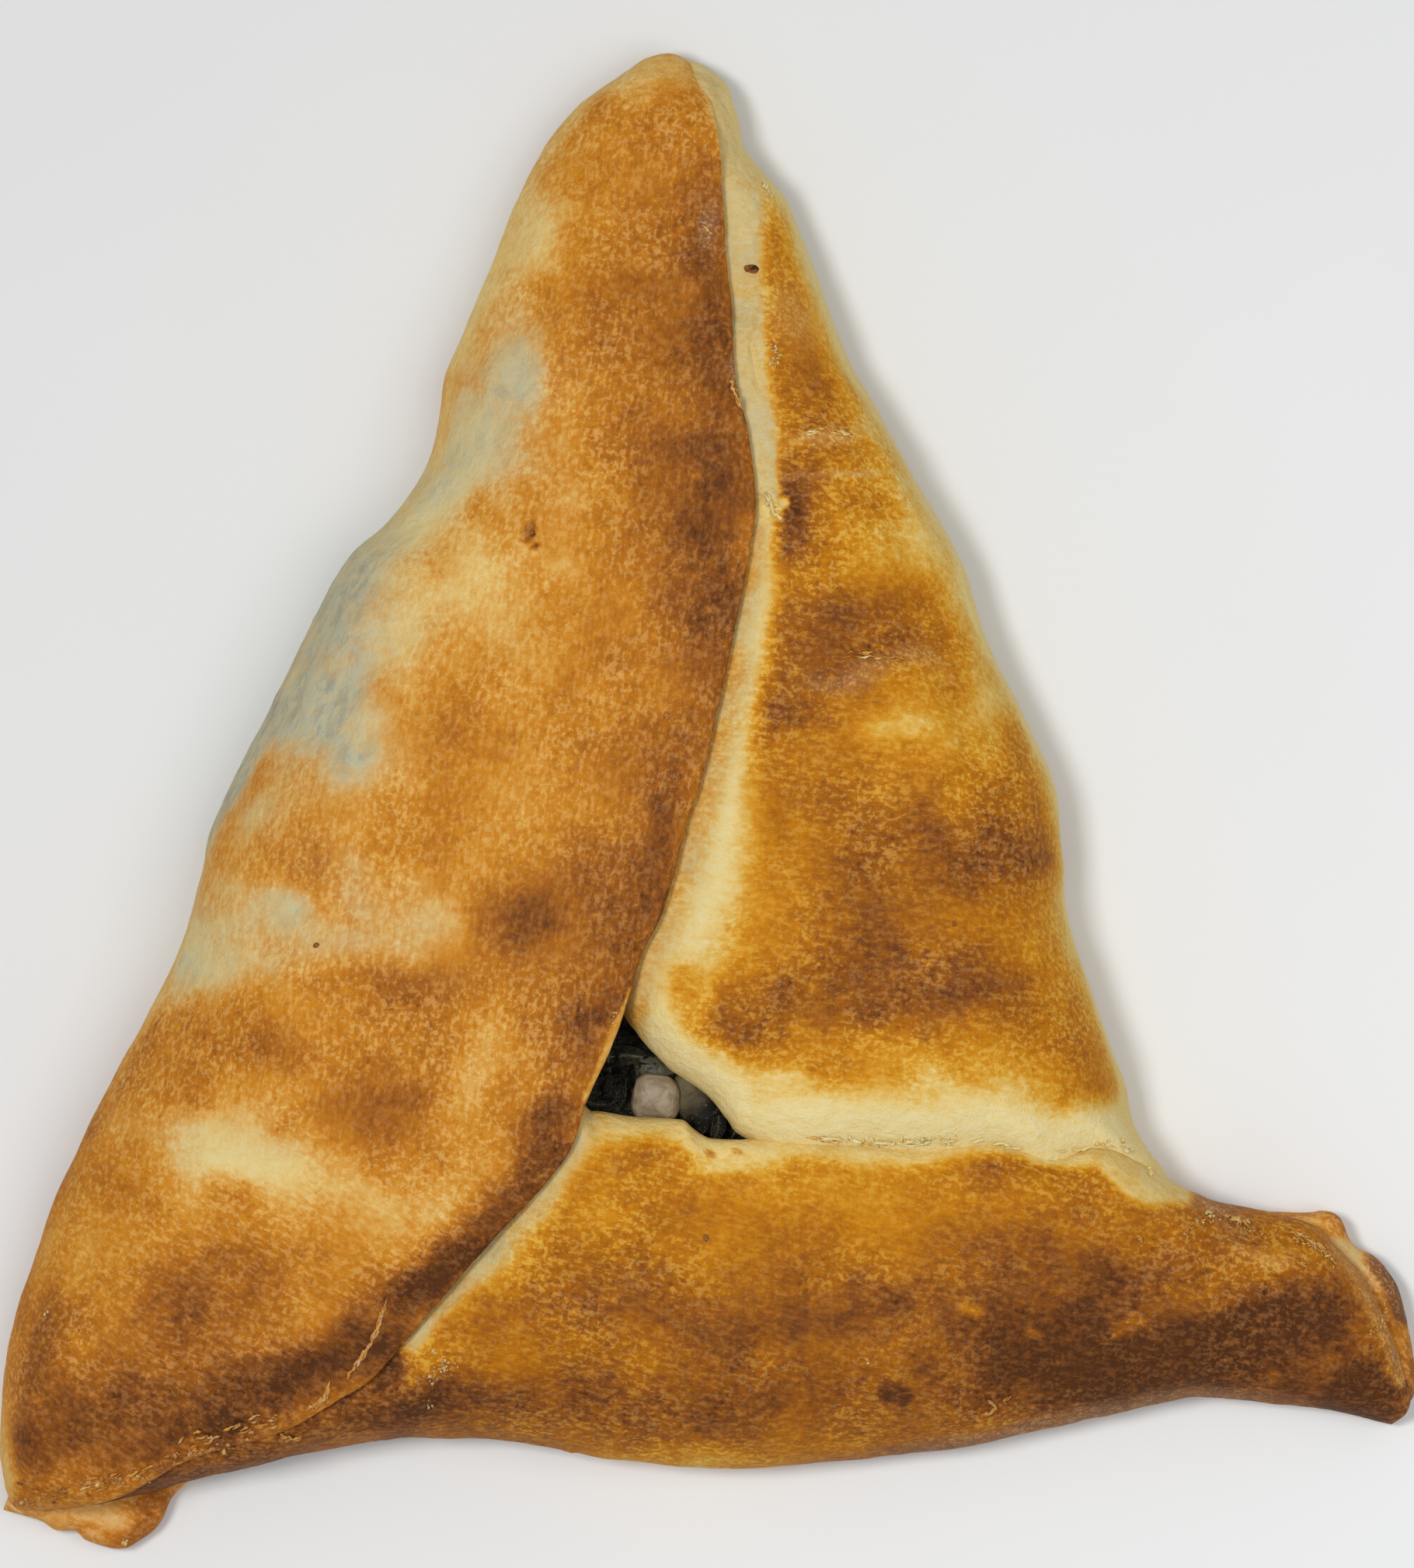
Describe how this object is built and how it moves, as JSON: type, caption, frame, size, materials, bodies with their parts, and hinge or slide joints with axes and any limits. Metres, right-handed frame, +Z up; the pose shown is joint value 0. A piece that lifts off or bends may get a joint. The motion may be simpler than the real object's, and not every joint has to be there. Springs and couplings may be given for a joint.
{
  "type": "spinach borek",
  "caption": "Triangular baked turnover of yeast dough folded over a spinach and onion filling, which shows through a small hole where the flaps meet.",
  "frame": {"origin": "middle of the flat underside's bounding box", "axes": "+X across from the lower left corner towards the lower right corner, +Y towards the tip, +Z up"},
  "size_m": [0.1563, 0.1652, 0.0285],
  "materials": {
    "crust": "baked dough, golden to brown, with pale seams",
    "spinach": "wet cooked spinach, dark green",
    "onion_flesh": "cooked onion, pale pinkish white",
    "onion_soft": "cooked onion, translucent grey"
  },
  "bodies": {
    "root": {"crust": "crust", "spinach_filling": "spinach", "onion_white": "onion_flesh", "onion_grey": "onion_soft"}
  },
  "joints": []
}
